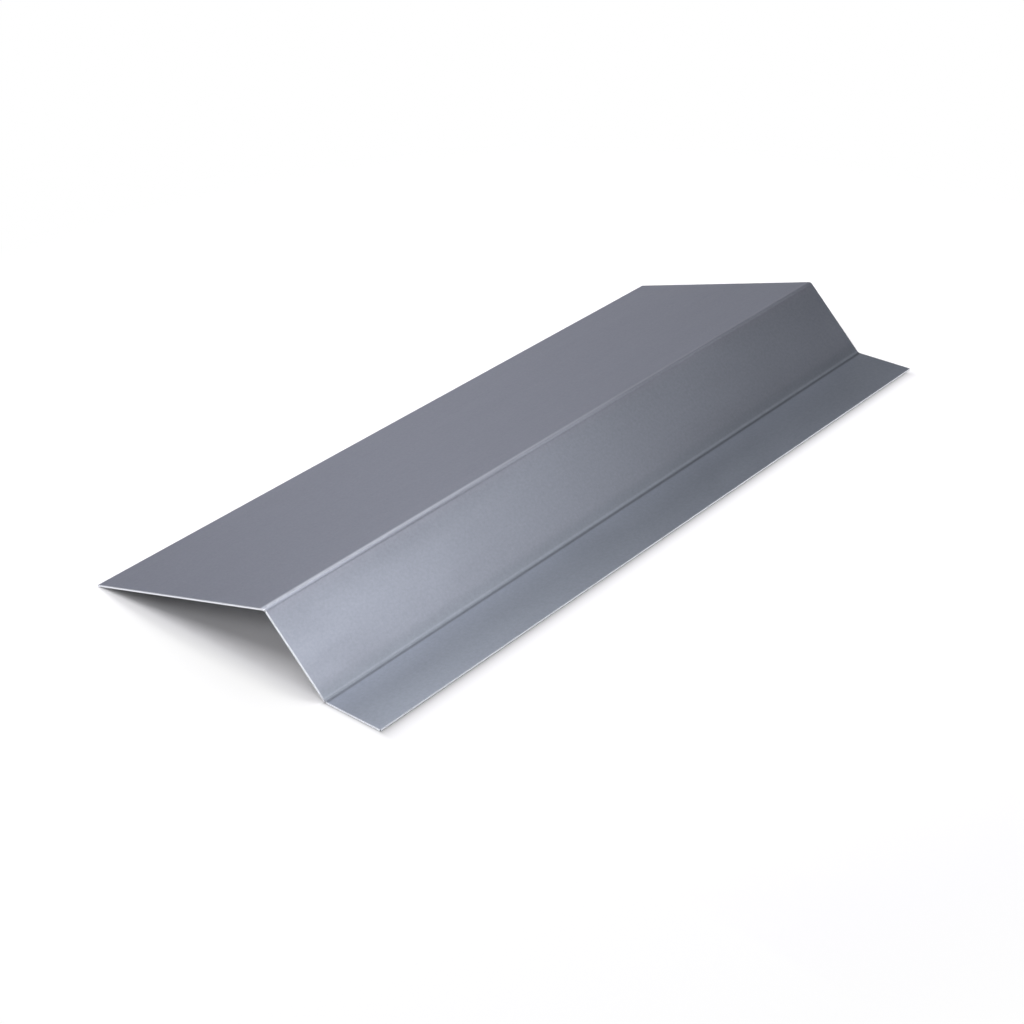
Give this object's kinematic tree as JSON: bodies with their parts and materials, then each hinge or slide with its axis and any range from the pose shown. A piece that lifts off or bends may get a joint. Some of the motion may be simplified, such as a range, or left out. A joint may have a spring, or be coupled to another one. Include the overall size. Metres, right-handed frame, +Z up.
{
  "type": "roof hip capping",
  "caption": "Folded sheet-metal capping for a roof hip: a wide shallow wing, a steep skirt and a level foot along its whole length.",
  "frame": {"origin": "centre of the footprint, on the level surface that the foot and the free edge of the wing rest on", "axes": "+Y along the capping's length, +Z up, +X across it from the wide wing to the foot"},
  "size_m": [0.4426, 1, 0.0828],
  "materials": {
    "sheet": "satin"
  },
  "bodies": {
    "root": {"capping_sheet": "sheet"}
  },
  "joints": []
}
